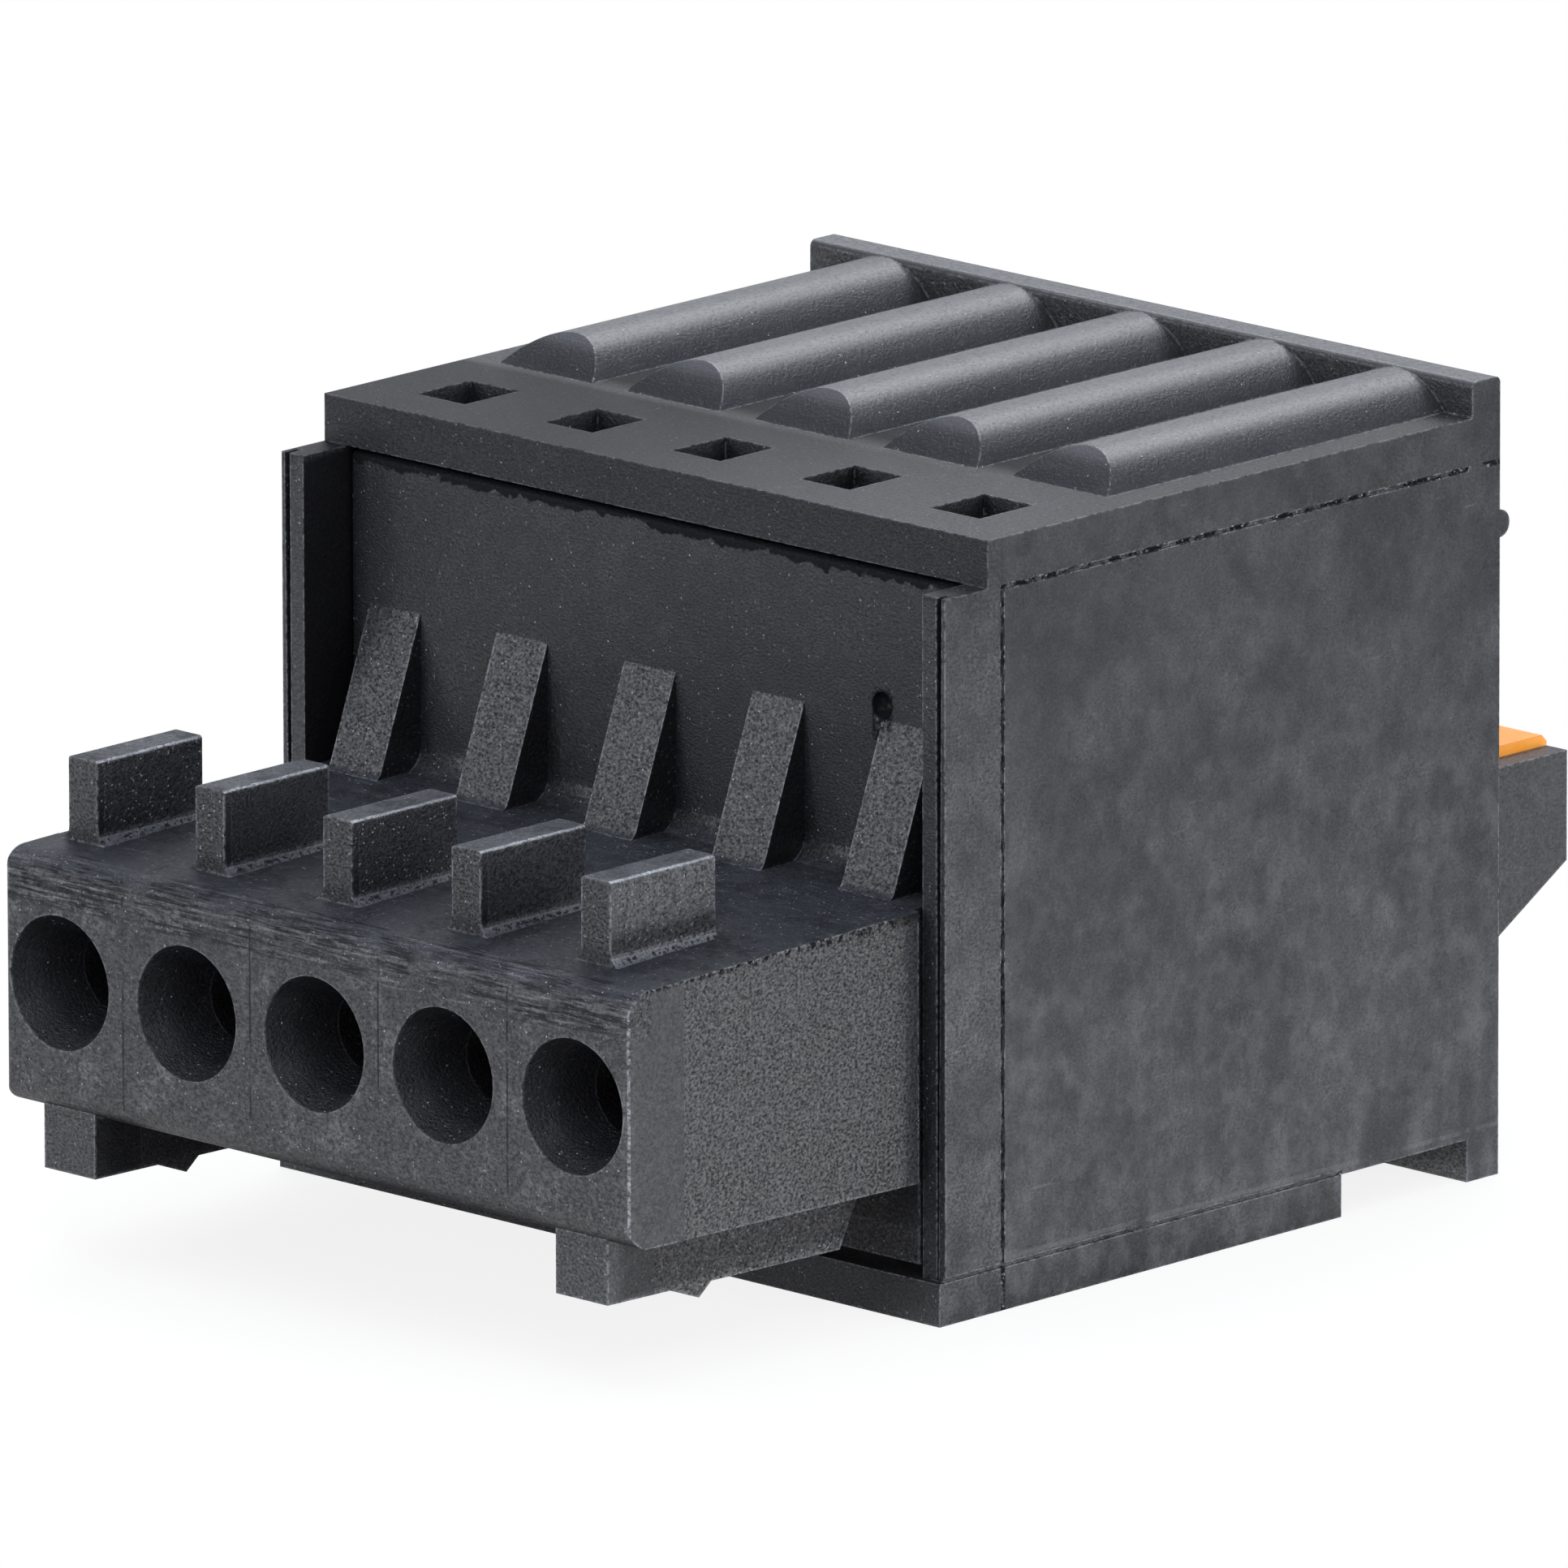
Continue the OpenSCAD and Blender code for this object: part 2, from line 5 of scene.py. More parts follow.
import bpy
from mathutils import Matrix, Vector


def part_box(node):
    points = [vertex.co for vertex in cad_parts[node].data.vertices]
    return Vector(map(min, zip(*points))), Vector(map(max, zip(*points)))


MM = 0.001

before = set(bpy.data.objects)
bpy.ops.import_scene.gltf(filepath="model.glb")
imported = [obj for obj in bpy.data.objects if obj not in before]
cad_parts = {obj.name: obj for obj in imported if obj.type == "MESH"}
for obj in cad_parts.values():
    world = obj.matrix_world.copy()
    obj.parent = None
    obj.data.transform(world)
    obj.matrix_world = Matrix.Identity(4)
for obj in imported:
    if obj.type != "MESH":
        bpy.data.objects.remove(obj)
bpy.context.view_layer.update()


# ---------------------------------------------------------------- shader nodes

class Value:
    """One output of a shader node. Arithmetic on it adds Math nodes."""

    def __init__(self, finish, socket):
        self.finish = finish
        self.socket = socket

    def math(self, operation, *values):
        return self.finish.node("ShaderNodeMath", {"operation": operation}, dict(enumerate(values)))

    def __add__(self, other):
        return self.math("ADD", self, other)

    def __radd__(self, other):
        return self.math("ADD", other, self)

    def __sub__(self, other):
        return self.math("SUBTRACT", self, other)

    def __rsub__(self, other):
        return self.math("SUBTRACT", other, self)

    def __mul__(self, other):
        return self.math("MULTIPLY", self, other)

    def __rmul__(self, other):
        return self.math("MULTIPLY", other, self)

    def __abs__(self):
        return self.math("ABSOLUTE", self)

    def at_least(self, other):
        return self.math("MAXIMUM", self, other)

    def at_most(self, other):
        return self.math("MINIMUM", self, other)

    def beyond(self, limit):
        """1 where the value is over the limit, else 0."""
        return self.math("GREATER_THAN", self, limit)

    def back_and_forth(self, length):
        """The value folded at every multiple of a length."""
        return self.math("PINGPONG", self, length)

    def beside(self, output):
        """Another output of the same node."""
        return Value(self.finish, self.socket.node.outputs[output])

    def ramp(self, low, high, start=0.0, end=1.0):
        """Runs smoothly from start to end as the value goes from low to high, also downwards."""
        return self.finish.node(
            "ShaderNodeMapRange",
            {"interpolation_type": "SMOOTHSTEP"},
            {"Value": self, "From Min": low, "From Max": high, "To Min": start, "To Max": end},
        )


class Nodes:
    """A shader's node tree, filled by expressions."""

    def __init__(self, tree):
        self.tree = tree
        tree.nodes.clear()

    def node(self, kind, settings=None, inputs=None, output=0):
        """Adds a node: its type, its settings, then the values or links of its sockets."""
        node = self.tree.nodes.new(kind)
        for name, setting in (settings or {}).items():
            setattr(node, name, setting)
        for name, value in (inputs or {}).items():
            if isinstance(value, Value):
                self.tree.links.new(value.socket, node.inputs[name])
            else:
                node.inputs[name].default_value = value
        return Value(self, node.outputs[output] if node.outputs else None)

    def vector(self, operation, *values, output=0):
        return self.node(
            "ShaderNodeVectorMath", {"operation": operation}, dict(enumerate(values)), output,
        )

    def dot(self, first, second):
        return self.vector("DOT_PRODUCT", first, second, output="Value")

    def length(self, vector):
        return self.vector("LENGTH", vector, output="Value")

    def mix(self, factor, first, second):
        """Blends two colours."""
        def colour(value):
            return value if isinstance(value, Value) else (*value, 1)
        return self.node(
            "ShaderNodeMix", {"data_type": "RGBA"},
            {0: factor, 6: colour(first), 7: colour(second)}, 2,
        )

    def emission(self, colour):
        return self.node("ShaderNodeEmission", {}, {"Color": colour, "Strength": 1.0})

    def either(self, factor, first, second):
        """Blends two shaders."""
        return self.node("ShaderNodeMixShader", {}, {0: factor, 1: first, 2: second})


class Finish(Nodes):
    """A material under construction, measured in millimetres on the part."""

    def __init__(self, name):
        self.material = bpy.data.materials.new(name)
        self.material.use_nodes = True
        super().__init__(self.material.node_tree)
        place = self.node("ShaderNodeTexCoord", output="Object")
        self.place = self.vector("MULTIPLY", place, (1 / MM,) * 3)
        self.x, self.y, self.z = (
            self.node("ShaderNodeSeparateXYZ", {}, {0: self.place}, axis) for axis in "XYZ"
        )
        facing = self.node("ShaderNodeTexCoord", output="Normal")
        self.nx, self.ny, self.nz = (
            self.node("ShaderNodeSeparateXYZ", {}, {0: facing}, axis) for axis in "XYZ"
        )

    def noise(self, size, detail=2.0, roughness=0.5, stretch=(1, 1, 1)):
        """Noise whose features are about size millimetres across."""
        place = self.vector("MULTIPLY", self.place, tuple(1 / (size * s) for s in stretch))
        return self.node(
            "ShaderNodeTexNoise", {},
            {"Vector": place, "Scale": 1.0, "Detail": detail, "Roughness": roughness}, "Fac",
        )

    def specks(self, size, *shares):
        """Scattered round specks on a grid of a size, once for each share of it that has one."""
        place = self.vector("MULTIPLY", self.place, (1 / size,) * 3)
        near = self.node("ShaderNodeTexVoronoi", {}, {"Vector": place, "Scale": 1.0}, "Distance")
        chance = self.node("ShaderNodeSeparateColor", {}, {0: near.beside("Color")}, "Red")
        return [near.ramp(0.34, 0.12) * chance.beyond(1 - share) for share in shares]

    def rounded(self, radius, samples=2):
        """The surface's normal with every edge rounded by a radius in millimetres."""
        return self.node("ShaderNodeBevel", {"samples": samples}, {"Radius": radius * MM})

    def edge(self, soft):
        """How near a point lies to an edge, from the normal that is rounded there."""
        plain = self.node("ShaderNodeNewGeometry", output="Normal")
        return 1 - self.dot(soft, plain)

    def bump(self, height, depth, normal):
        """Relief whose height runs from 0 to 1 over a depth in millimetres."""
        return self.node(
            "ShaderNodeBump", {},
            {"Strength": 1.0, "Distance": depth * MM, "Height": height, "Normal": normal},
        )

    def principled(self, **sockets):
        return self.node(
            "ShaderNodeBsdfPrincipled", {}, {k.replace("_", " "): v for k, v in sockets.items()},
        )

    def ends_in(self, shader):
        """Sends the shader to the surface and returns the material."""
        self.node("ShaderNodeOutputMaterial", {}, {"Surface": shader})
        return self.material


# ---------------------------------------------------------------- where the marks lie

def box_mm(name):
    """A node's lowest and highest corner at rest, in millimetres."""
    return [tuple(v / MM for v in corner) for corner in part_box(name)]


poles = sum(name.startswith("release_button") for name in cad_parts)
pitch = box_mm("release_button_2")[0][0] - box_mm("release_button_1")[0][0]
outer_pole_x = (poles - 1) * pitch / 2

# the contact carrier, in millimetres
carrier_low, carrier_high = box_mm("contact_carrier")
carrier_side = carrier_high[0]
front_y = carrier_low[1]
collar_y = front_y + 1.1
wall_y = front_y + 6.9
gusset_y = wall_y - 1.6
foot_top = 1.3
nose_top = 5.85
pin_z = (nose_top + 0.7) / 2
funnel_reach = 1.7
ejector_x, ejector_z = outer_pole_x - 0.62, 8.25

# the housing, in millimetres
case_low, case_high = box_mm("housing")
case_side = case_high[0]
base_lead = 0.12
flange_y = case_low[1] + base_lead
seam_y = flange_y + 1.14
seam_width = 0.06
ridge_y = case_low[1] + 3.99
lip_y = case_high[1] - 0.58
witness_z = 0.75
roof_seam_z = 10.41
slab_top = 11.13

# painted highlights together with real dust, rubbed edges together with painted highlights, and
# painted highlights on fillets and rib faces
HIGHLIGHT_AND_DUST = (0.42, 0.43, 0.46)
WEAR_AND_HIGHLIGHT = (0.42, 0.43, 0.45)
PAINTED_HIGHLIGHT = (0.40, 0.42, 0.46)


# ---------------------------------------------------------------- black plastic

class Plastic(Finish):
    """Black plastic, whose tone, edge brightness and dark matt share gather the marks of one
    moulding and the light painted on it.

    The edge brightness is where edges are rubbed bright, partly real wear and partly painted
    highlight; the dark matt share is where the surface turns to dark matt plastic, partly a duller
    finish and partly painted shade.
    """

    def __init__(self, name):
        super().__init__(name)
        self.ahead = 0 - self.ny  # 1 on faces to the front
        self.sideways = abs(self.nx).ramp(0.4, 0.7)
        self.matt_and_shade = 0.0

    def paint(self, share, colour):
        self.tone = self.mix(share, self.tone, colour)

    def dim(self, share):
        self.matt_and_shade = share.at_least(self.matt_and_shade)


def black_plastic(name, relief, edge, coarse, marks):
    """Glass-filled black plastic from a spark-eroded mould: dark and matt between its bright
    crests, which are lightened with a painted highlight.

    relief is the grain's depth in millimetres where coarse is 1, edge how far corners are rubbed
    bright.
    coarse gives the grain's strength on each face, and marks adds what is peculiar to one moulding,
    with its painted light and shade.
    """
    f = Plastic(name)
    soft = f.rounded(edge)
    up = f.nz.ramp(0.3, 0.8)
    rough = coarse(f)
    # the grain, then the uneven colour under it, then what lies on it and the light painted over it
    lumps = f.noise(0.042, 3, 0.72, stretch=(1.3, 1.3, 1))
    # painted shade: the grain's pits turn to dark matt plastic
    pit_shade = lumps.ramp(0.54, 0.26) * rough
    crest = lumps.ramp(0.32, 0.68) * rough
    smudge = f.noise(1.6, 3, 0.62)
    cloud = f.noise(0.3, 3, 0.62).ramp(0.5, 0.75)
    # the first and last specks are painted glints, the middle ones real dust
    painted_glint, dust, f.spark = f.specks(0.055, 0.08, 0.012, 0.3)

    f.tone = f.mix(smudge.ramp(0.32, 0.68), (0.0035, 0.0035, 0.0042), (0.0075, 0.0077, 0.009))
    f.paint(cloud * 0.5, (0.02, 0.0205, 0.023))
    # painted highlight: the grain's crests lightened as if they caught the light
    f.paint(lumps.ramp(0.55, 0.75) * rough * 0.16, HIGHLIGHT_AND_DUST)
    f.worn = f.edge(soft).ramp(0.01, 0.1) * f.noise(0.1, 2, 0.65).ramp(0.4, 0.56)
    marks(f)
    # edges rubbed bright: partly real wear, partly painted highlight
    f.paint(f.worn * 0.85, WEAR_AND_HIGHLIGHT)
    # painted glints on the grain, and real dust specks
    f.paint((painted_glint * rough * 0.8).at_least(dust * 0.8), HIGHLIGHT_AND_DUST)

    sheen = crest + (1 - rough) * (0.1 + cloud * 0.15)
    normal = f.bump(lumps * (0.15 + 0.85 * rough), relief, soft)
    gloss = f.principled(
        Base_Color=f.tone,
        Roughness=0.3 + up * 0.1 + smudge.ramp(0.3, 0.7, -0.04, 0.04),
        Specular_Tint=(0.9, 0.92, 1, 1), Coat_Tint=(0.95, 0.96, 1, 1),
        Coat_Weight=(sheen * (1 - up * 0.95) + f.worn).at_most(1.0),
        Coat_Roughness=0.28, Coat_IOR=2.0,
        Normal=normal, IOR=1.58,
    )
    matt = f.node(
        "ShaderNodeBsdfDiffuse", {}, {"Color": (0.008, 0.008, 0.0095, 1), "Normal": normal},
    )
    # dark matt plastic takes over in the pits and wherever the marks lay painted shade or a duller
    # finish
    return f.ends_in(f.either((pit_shade * 0.6).at_least(f.matt_and_shade), gloss, matt))


# ---------------------------------------------------------------- the contact carrier's marks

def carrier_coarse(f):
    """Smooth on the collar, the front and the wall, coarse elsewhere."""
    collar = f.sideways * f.y.ramp(collar_y + 0.02, collar_y - 0.02)
    front = f.ahead.ramp(0.5, 0.8) * f.y.ramp(front_y + 0.3, front_y + 0.1)
    wall = f.ahead.ramp(0.95, 0.98) * f.y.ramp(wall_y - 0.1, wall_y - 0.05)
    slope = f.ahead.ramp(0.8, 0.88) * f.ahead.ramp(0.98, 0.95)
    return (1 - collar * 0.65) * (1 - front * 0.4) * (1 - wall * 0.5) * (1 - slope * 0.2)


def deck_marks(f, top, fine, patch):
    """The nose's top: painted bluish as cool light from above would make it, scuffed, darkened to
    matt in blotches, and given painted shade all over, a little heavier to the left.
    """
    # painted light: the top tinted bluish like cool overhead light
    f.paint(top * 0.6, (0.016, 0.021, 0.030))
    scuff = f.noise(0.12, 3, 0.7, stretch=(3, 1, 1)).ramp(0.54, 0.7)
    f.paint(top * scuff * 0.6, (0.07, 0.078, 0.092))
    f.dim(top * patch.ramp(0.42, 0.65) * fine.ramp(0.2, 0.6) * 0.6)
    # painted shade over the whole top, heavier to the left
    f.dim(top * f.x.ramp(-6, 6, 0.3, 0.2) * f.z.ramp(nose_top + 0.1, nose_top + 0.02))


def front_marks(f, fine, patch):
    """Streaks along the front's roundings, scuffs on its flat, mould lines between openings."""
    upper = f.y.ramp(front_y + 0.5, front_y + 0.4) * f.z.ramp(nose_top - 0.85, nose_top - 0.6)
    lower = f.y.ramp(front_y + 0.2, front_y + 0.1) * f.z.ramp(foot_top + 0.2, foot_top)
    streak = f.noise(0.05, 3, 0.7, stretch=(14, 1, 1))
    f.paint(upper * streak.ramp(0.56, 0.66) * 0.6, (0.13, 0.135, 0.15))
    f.dim(upper.at_least(lower * 0.7) * streak.ramp(0.52, 0.42) * patch.ramp(0.3, 0.55) * 0.8)

    flat = f.y.ramp(front_y + 0.02, front_y + 0.01)
    f.paint(flat * patch.ramp(0.5, 0.62) * fine.ramp(0.46, 0.58) * 0.6, (0.1, 0.102, 0.11))

    # one opening is at x = 0, so a mould line runs half a pitch beside each of them
    line = f.x.back_and_forth(pitch / 2).ramp(pitch / 2 - 0.025, pitch / 2 - 0.012)
    f.dim(line * flat * patch.ramp(0.36, 0.5) * 0.7)


def rib_marks(f, top, fine):
    """Painted highlights on the fillets and edges of ribs and gussets, on the rib tops and on the
    last rib's side, and painted shade on the gussets' cheeks.
    """
    above = f.z.ramp(nose_top - 0.1, nose_top + 0.05)
    flat = abs(f.nx).at_least(abs(f.ny)).at_least(abs(f.nz)).ramp(0.86, 0.985)
    before_gussets = f.y.ramp(gusset_y, gusset_y - 0.3)
    to_light = f.nx.ramp(0.1, 0.4).at_least(f.nz.ramp(0.2, 0.5) * before_gussets)
    to_light = to_light * f.y.ramp(wall_y - 0.02, wall_y - 0.04)
    # painted highlight on fillets and edges facing the light, with painted glints
    fillet_highlight = above * (1 - flat) * to_light * (fine.ramp(0.3, 0.6, 0.25, 0.95) + f.spark * 0.4)
    fillet_highlight = fillet_highlight * f.z.ramp(nose_top + 0.15, nose_top + 0.35, 0.5, 1.0)
    ribs = f.z.ramp(nose_top + 0.3, nose_top + 0.5) * before_gussets
    outer = ribs * f.nx.ramp(0.8, 0.95) * f.x.ramp(outer_pole_x - 1, outer_pole_x - 0.5)
    # painted highlights: the fillets, the rib tops, and the last rib's side
    f.paint(fillet_highlight.at_most(1.0).at_least(ribs * top * 0.08).at_least(outer * 0.1), PAINTED_HIGHLIGHT)
    # painted shade on the gussets' cheeks
    f.dim(above * f.sideways * f.y.ramp(gusset_y - 0.1, gusset_y + 0.1) * flat * 0.75)


def seam_marks(f, fine):
    """Ragged seams beside the nose's top, and painted shade along the carrier's top under the roof
    and over all of it behind the wall.
    """
    ragged = abs(f.z - nose_top).ramp(0.1, 0.05) * f.sideways * fine.ramp(0.48, 0.56)
    ragged_shade_line = f.z + f.noise(0.5, 3, 0.7) * 0.5
    f.dim(ragged)
    # painted shade along the carrier's ragged top, under the roof
    f.dim(ragged_shade_line.ramp(carrier_high[2] + 0.08, carrier_high[2] + 0.12))
    # painted shade on everything behind the wall, inside the housing
    f.dim(f.y.ramp(wall_y + 0.01, wall_y + 0.03))


def recess_marks(f, middle, fine, patch):
    """The wall darkened in patches, painted shade in the funnels, on faces turned down and on
    fronts low down, and the mark dragged by the ejector.
    """
    wall = f.ahead.ramp(0.95, 0.98) * f.y.ramp(wall_y - 0.1, wall_y - 0.05)
    f.dim(wall * patch.ramp(0.3, 0.6) * 0.2)
    funnel = f.y.ramp(front_y + 0.3, front_y + 0.6) * f.z.ramp(nose_top - 0.6, nose_top - 0.7)
    # painted shade inside the funnels
    f.dim(funnel * middle * 0.45 * f.z.ramp(foot_top - 0.05, foot_top + 0.05))
    # painted shade on faces turned down
    f.dim((0 - f.nz).ramp(0.5, 0.8) * 0.5)
    # painted shade on fronts below the feet's top
    f.dim(f.ahead.ramp(0.5, 0.8) * f.z.ramp(foot_top + 0.05, foot_top - 0.05) * 0.2)
    drag = abs(f.x - ejector_x).ramp(0.24, 0.16) * abs(f.z - ejector_z).ramp(0.5, 0.3)
    f.dim(drag * f.y.ramp(wall_y - 0.1, wall_y - 0.02) * fine.ramp(0.4, 0.52))


def edge_wear(f, middle, fine):
    """Bright upright corners of the front, partly wear and partly painted highlight, and no bright
    edges at openings, at the collar and where the surface turns matt.
    """
    # the front's upright corners rubbed bright: partly wear, partly painted highlight
    corner = abs(f.nx).ramp(0.45, 0.65) * f.ahead.ramp(0.45, 0.65)
    corner = corner * abs(f.x).ramp(carrier_side - 0.2, carrier_side - 0.15)
    corner = corner * f.y.ramp(front_y + 0.2, front_y + 0.15)
    f.worn = f.worn.at_least(corner * fine.ramp(0.36, 0.66) * 0.7)
    step = f.sideways * abs(f.y - collar_y).ramp(0.12, 0.08)
    rim = f.y.ramp(front_y + 0.2, front_y + 0.1)
    rim = rim * abs(f.z - pin_z).ramp(funnel_reach + 0.2, funnel_reach) * middle * 0.6
    kept = (1 - step) * (1 - f.matt_and_shade) * (1 - rim) * f.y.ramp(wall_y - 0.02, wall_y - 0.04)
    f.worn = f.worn * kept


def carrier_marks(f):
    """All marks of the contact carrier, with its painted light and shade, in the order in which
    they cover each other.
    """
    fine, patch = f.noise(0.09, 3, 0.7), f.noise(0.8, 3, 0.65)
    top = f.nz.ramp(0.5, 0.8) * f.z.ramp(nose_top - 0.4, nose_top - 0.2)
    middle = abs(f.x).ramp(carrier_side - 0.1, carrier_side - 0.2)
    deck_marks(f, top, fine, patch)
    front_marks(f, fine, patch)
    rib_marks(f, top, fine)
    seam_marks(f, fine)
    recess_marks(f, middle, fine, patch)
    edge_wear(f, middle, fine)
    f.matt_and_shade = f.matt_and_shade * 0.9


# ---------------------------------------------------------------- the housing's marks

def ridge_ends(f):
    """The slanting faces that end the ridges at the front."""
    return f.ahead.ramp(0.4, 0.5) * f.nz.ramp(0.4, 0.5)


def case_coarse(f):
    """Smooth on the panel of each side, medium grain elsewhere."""
    panel = f.sideways * f.y.ramp(seam_y - 0.02, seam_y + 0.02)
    return (0.6 - 0.3 * panel) * (1 - ridge_ends(f) * 0.6)


def panel_marks(f, side, behind, patch):
    """Cloudy rubbing on the side panels, with a painted reflection of the floor that lightens them
    low down, fine scratches and a witness line.
    """
    haze = f.noise(0.5, 4, 0.72, stretch=(1, 1, 1.3)).ramp(0.42, 0.68)
    # painted reflection of the floor: lighter towards the bottom
    low = f.z.ramp(case_high[2], 0.0)
    f.paint(side * haze * (0.2 + low * 0.6), (0.055, 0.056, 0.061))
    witness = abs(f.z - witness_z).ramp(0.05, 0.02) * patch.ramp(0.4, 0.52)
    f.paint(side * behind * witness * 0.45, (0.09, 0.091, 0.098))
    hair = f.noise(0.035, 2, 0.5, stretch=(1, 22, 2)).ramp(0.66, 0.74) * patch.ramp(0.55, 0.65)
    f.paint(side * hair * 0.35, (0.12, 0.121, 0.13))


def panel_seams(f, side, behind):
    """The gap and the crumbs along the panels' seams. Returns the gap."""
    upright = abs(f.y - seam_y - seam_width / 2).ramp(seam_width, seam_width / 2)
    upright = upright * f.z.ramp(roof_seam_z + 0.03, roof_seam_z)
    level = abs(f.z - roof_seam_z).ramp(seam_width, seam_width / 2) * behind
    seam = side * upright.at_least(level)
    crumb = seam * f.noise(0.06, 2, 0.6).ramp(0.6, 0.66)
    gap = seam * f.noise(0.3, 3, 0.6).ramp(0.46, 0.52) * (1 - crumb)
    f.paint(gap * 0.9, (0.003, 0.003, 0.004))
    f.paint(crumb * 0.8, (0.34, 0.345, 0.36))
    return gap


def case_marks(f):
    """All marks of the housing, with its painted light and shade, in the order in which they cover
    each other.
    """
    patch = f.noise(1.0, 3, 0.6)
    side = f.sideways * abs(f.x).ramp(case_side - 0.12, case_side - 0.08)
    behind = f.y.ramp(seam_y - 0.02, seam_y + 0.02)
    upwards = f.nz.ramp(0.5, 0.9)
    panel_marks(f, side, behind, patch)
    gap = panel_seams(f, side, behind)
    # painted highlight on the side of the lip
    lip_highlight = f.sideways * f.z.ramp(4, 11) * f.y.ramp(lip_y - 0.02, lip_y + 0.02)
    f.paint(lip_highlight * 0.12, HIGHLIGHT_AND_DUST)

    # the roof's valleys get painted shade, its ridges a painted highlight
    roof = upwards * f.y.ramp(ridge_y - 0.2, ridge_y + 0.5) * f.y.ramp(lip_y, lip_y - 0.1)
    between = abs(f.x).ramp(poles * pitch / 2 - 0.5, poles * pitch / 2 - 0.7)
    valley_shade = roof * between * f.z.ramp(slab_top + 0.25, slab_top + 0.02) * 0.6
    crown_highlight = roof * f.z.ramp(slab_top + 0.25, slab_top + 0.45) * 0.2

    # painted shade on the roof's top at the front left, on the front under the roof, inside the
    # flanges and on the ridges' slanting ends; the panels are darker in patches
    shelf_shade = upwards * f.y.ramp(ridge_y, ridge_y - 0.3) * f.x.ramp(6, -3) * 0.45
    veil = side * patch.ramp(0.65, 0.35) * 0.3
    brow_shade = f.ahead.ramp(0.5, 0.9) * f.y.ramp(flange_y + 1.5, flange_y + 1.3)
    brow_shade = brow_shade * (f.z.ramp(roof_seam_z - 0.1, roof_seam_z) * 0.4).at_least(0.12)
    inner_shade = f.sideways * abs(f.x).ramp(case_side - 0.15, case_side - 0.2) * 0.8
    inner_shade = inner_shade * f.y.ramp(seam_y, seam_y - 0.1) * f.z.ramp(roof_seam_z, roof_seam_z - 0.1)
    f.dim(valley_shade + shelf_shade + veil + brow_shade + inner_shade + ridge_ends(f) * 0.2)
    f.dim(gap * 0.9)

    # painted glints along the front edge of the roof
    brink = f.z.ramp(slab_top - 0.3, slab_top - 0.1) * f.y.ramp(flange_y + 0.2, flange_y + 0.1)
    painted_glitter = f.spark * brink * f.x.ramp(-3, 4)
    # the roof's painted glints and the ridges' painted highlight join the rubbed edges
    f.worn = (f.worn.at_least(painted_glitter) * (1 - gap)).at_least(crown_highlight)


# ---------------------------------------------------------------- orange plastic and metal

def moulded_orange(name):
    """Satin orange plastic."""
    f = Finish(name)
    soft = f.rounded(0.05)
    relief = f.bump(f.noise(0.06, 2), 0.006, soft)
    tone = f.mix(f.noise(0.8, 3).ramp(0.3, 0.7), (0.92, 0.30, 0.02), (0.96, 0.38, 0.05))
    rough = f.noise(0.5, 2).ramp(0.3, 0.7, 0.38, 0.5)
    return f.ends_in(f.principled(Base_Color=tone, Roughness=rough, Normal=relief))


def rolled_metal(name, dark, light, rough):
    """Sheet metal with fine rolling lines along the strip."""
    f = Finish(name)
    lines = f.noise(0.03, 3, 0.6, stretch=(1, 14, 14))
    tone = f.mix(lines.ramp(0.3, 0.7), dark, light)
    return f.ends_in(f.principled(
        Base_Color=tone, Metallic=1.0,
        Roughness=lines.ramp(0.2, 0.8, rough - 0.06, rough + 0.08),
        Normal=f.bump(lines, 0.003, f.rounded(0.02, 4)),
    ))


case_black = black_plastic("case_plastic", 0.045, 0.04, case_coarse, case_marks)
carrier_black = black_plastic("carrier_plastic", 0.055, 0.06, carrier_coarse, carrier_marks)
orange = moulded_orange("orange_plastic")
steel = rolled_metal("spring_steel", (0.50, 0.50, 0.51), (0.62, 0.62, 0.63), 0.3)
tin = rolled_metal("tin_plate", (0.62, 0.61, 0.59), (0.74, 0.73, 0.70), 0.26)

wears = {
    "housing": case_black, "contact_carrier": carrier_black, "release_button": orange,
    "clamp_spring": steel, "current_bar": tin, "contact_socket": tin,
}
for name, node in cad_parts.items():
    finish = wears[name.rstrip("_0123456789")]
    for slot in node.material_slots:
        slot.material = finish


# ---------------------------------------------------------------- floor, light and camera

WHITE = (1, 1, 1)

# azimuth and elevation in degrees, distance, width and height in metres, power in watts
LAMPS = {
    "back_left_box": (215, 45, 0.30, 0.20, 0.16, 0.4),
    "right_box": (100, 14, 0.30, 0.14, 0.12, 0.4),
    "front_left_box": (-12, 12, 0.30, 0.14, 0.12, 0.3),
    "front_right_box": (48, 42, 0.35, 0.20, 0.16, 0.35),
    "top_box": (0, 88, 0.35, 0.30, 0.30, 0.6),
}


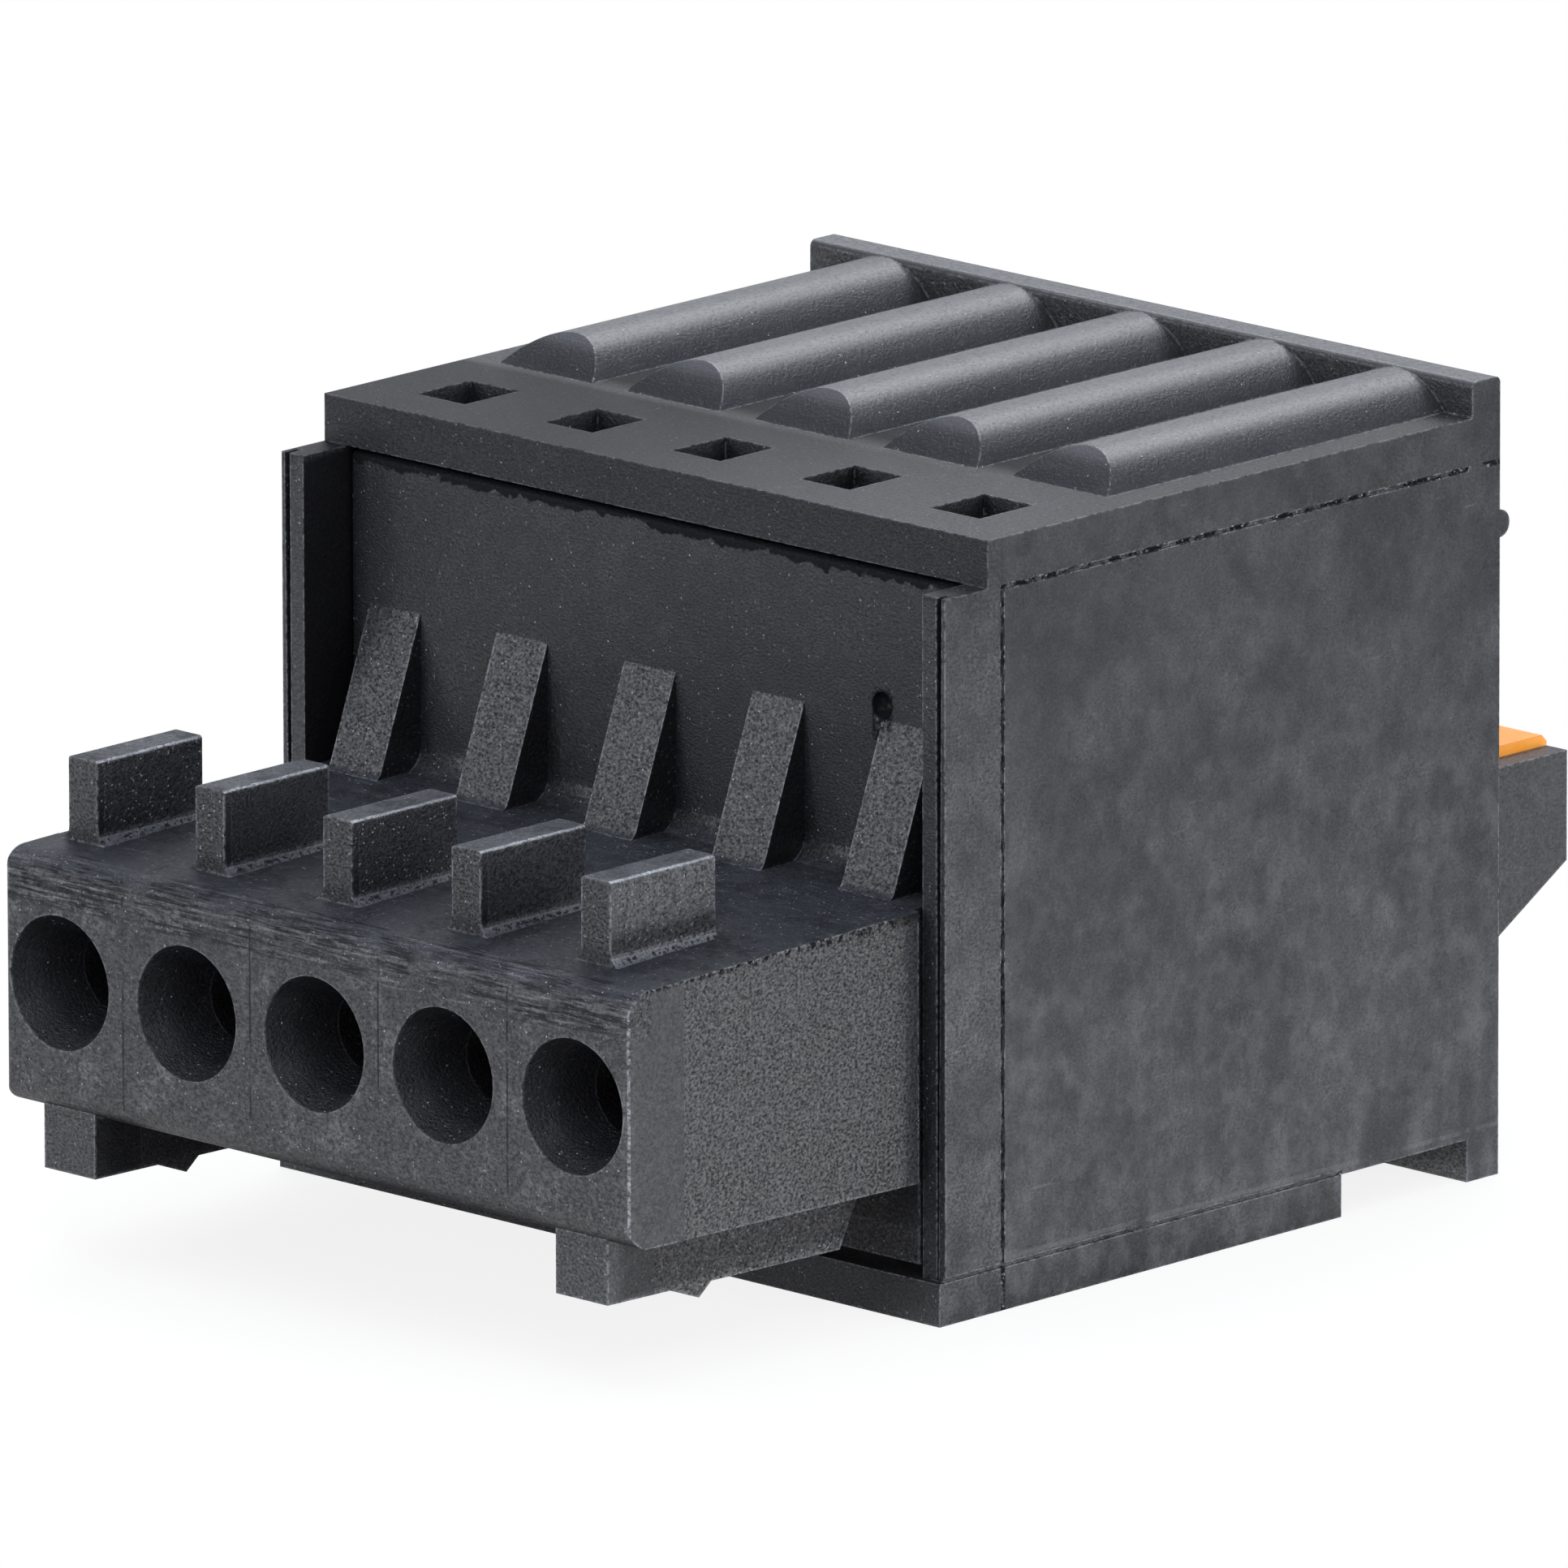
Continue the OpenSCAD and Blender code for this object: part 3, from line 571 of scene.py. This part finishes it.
def floor():
    """White to the lens but for the part's soft shadow.

    In reflections it glows with painted light: white near the part, a painted shadow beneath
    it, and dimmer far off and at the front left.
    """
    half = 2.0  # metres
    mesh = bpy.data.meshes.new("floor")
    corners = [(-half, -half, 0), (half, -half, 0), (half, half, 0), (-half, half, 0)]
    mesh.from_pydata(corners, [], [(0, 1, 2, 3)])
    piece = bpy.data.objects.new("floor", mesh)
    bpy.context.scene.collection.objects.link(piece)
    f = Finish("pale_floor")
    tone = f.mix(f.noise(60, 2), (0.95, 0.95, 0.95), (0.97, 0.97, 0.97))
    lit = f.principled(Base_Color=tone, Roughness=0.9)
    camera = f.node("ShaderNodeLightPath", output="Is Camera Ray")
    mirrored, through = camera.beside("Is Glossy Ray"), camera.beside("Is Transmission Ray")
    # painted shadow under the part, which only reflections see, and a glow dimmer far off and at
    # the front left
    foot = f.vector("MULTIPLY", f.place, (1 / case_side, -1 / front_y, 0))
    beside = f.length(foot).ramp(0.85, 1.25, 0.12, 1.0)
    away = f.length(f.place)
    front_left = f.dot(f.vector("NORMALIZE", f.place), (-0.67, -0.74, 0))
    glow = beside * away.ramp(20, 55, 1.0, 0.5) * front_left.ramp(0.2, 0.9, 1.0, 0.65)
    glow = f.emission(f.mix(camera, glow, WHITE))
    share = (camera * away.ramp(14, 22, 0.85, 1.0)).at_least(mirrored).at_least(through)
    mesh.materials.append(f.ends_in(f.either(share, lit, glow)))


def studio_tent():
    """White to the lens and, level with the part, to what mirrors it. Elsewhere a soft tent.

    The tent is cooler overhead, brightest at the front left, and dimmer behind.
    """
    world = bpy.data.worlds.new("studio")
    world.use_nodes = True
    t = Nodes(world.node_tree)
    toward = t.node("ShaderNodeTexCoord", output="Generated")

    def lobe(direction, low, high):
        return t.dot(toward, direction).ramp(low, high)

    tent = t.mix(lobe((0, 0, 1), 0.15, 0.8), (0.1, 0.1, 0.11), (0.36, 0.42, 0.54))
    tent = t.mix(lobe((-0.67, 0.7, 0.24), 0.75, 0.98), tent, (0.42, 0.44, 0.48))
    tent = t.mix(lobe((-0.67, -0.68, 0.3), 0.7, 0.95), tent, (0.95, 0.97, 1.02))
    tent = t.mix(lobe((0.75, 0.6, 0.2), 0.6, 0.95), tent, (0.6, 0.62, 0.66))
    white = t.node("ShaderNodeBackground", {}, {"Color": (*WHITE, 1), "Strength": 1.0})
    wall = t.node("ShaderNodeBackground", {}, {"Color": tent, "Strength": 1.0})
    camera = t.node("ShaderNodeLightPath", output="Is Camera Ray")
    level = lobe((0, 0, 1), 0.08, 0.02) * camera.beside("Is Glossy Ray")
    share = camera.at_least(camera.beside("Is Transmission Ray")).at_least(level)
    t.node("ShaderNodeOutputWorld", {}, {"Surface": t.either(share, wall, white)})
    bpy.context.scene.world = world


def seen_from(azimuth, elevation):
    """The unit vector from the part towards a place whose angles are given in degrees."""
    a, e = math.radians(azimuth), math.radians(elevation)
    return Vector((math.sin(a) * math.cos(e), -math.cos(a) * math.cos(e), math.sin(e)))


def softbox(name, azimuth, elevation, distance, width, height, power):
    """An oblong lamp aimed at the part, placed by the angles it shines from."""
    back = seen_from(azimuth, elevation)
    middle = Vector((0, 0, 6 * MM))
    lamp = bpy.data.lights.new(name, "AREA")
    lamp.shape = "RECTANGLE"
    lamp.size, lamp.size_y, lamp.energy = width, height, power
    piece = bpy.data.objects.new(name, lamp)
    piece.location = middle + back * distance
    piece.rotation_euler = back.to_track_quat("Z", "Y").to_euler()
    bpy.context.scene.collection.objects.link(piece)


def camera():
    """Long lens, turned and raised to see the nose, the roof and one side."""
    azimuth, elevation, roll = 43.68, 14.137, math.radians(-0.137)
    aim = Vector((3.4706, -3.7136, 7.3139)) * MM
    distance = 471.44 * MM
    back = seen_from(azimuth, elevation)
    right = seen_from(azimuth + 90, 0)
    up = back.cross(right)
    x = right * math.cos(roll) + up * math.sin(roll)
    y = up * math.cos(roll) - right * math.sin(roll)
    lens = bpy.data.cameras.new("camera")
    lens.sensor_width = 36
    lens.lens = 775.14
    piece = bpy.data.objects.new("camera", lens)
    piece.matrix_world = Matrix((x, y, back)).transposed().to_4x4()
    piece.matrix_world.translation = aim + back * distance
    bpy.context.scene.collection.objects.link(piece)
    bpy.context.scene.camera = piece


floor()
studio_tent()
for lamp, placing in LAMPS.items():
    softbox(lamp, *placing)
camera()
bpy.context.scene.view_settings.view_transform = "Standard"
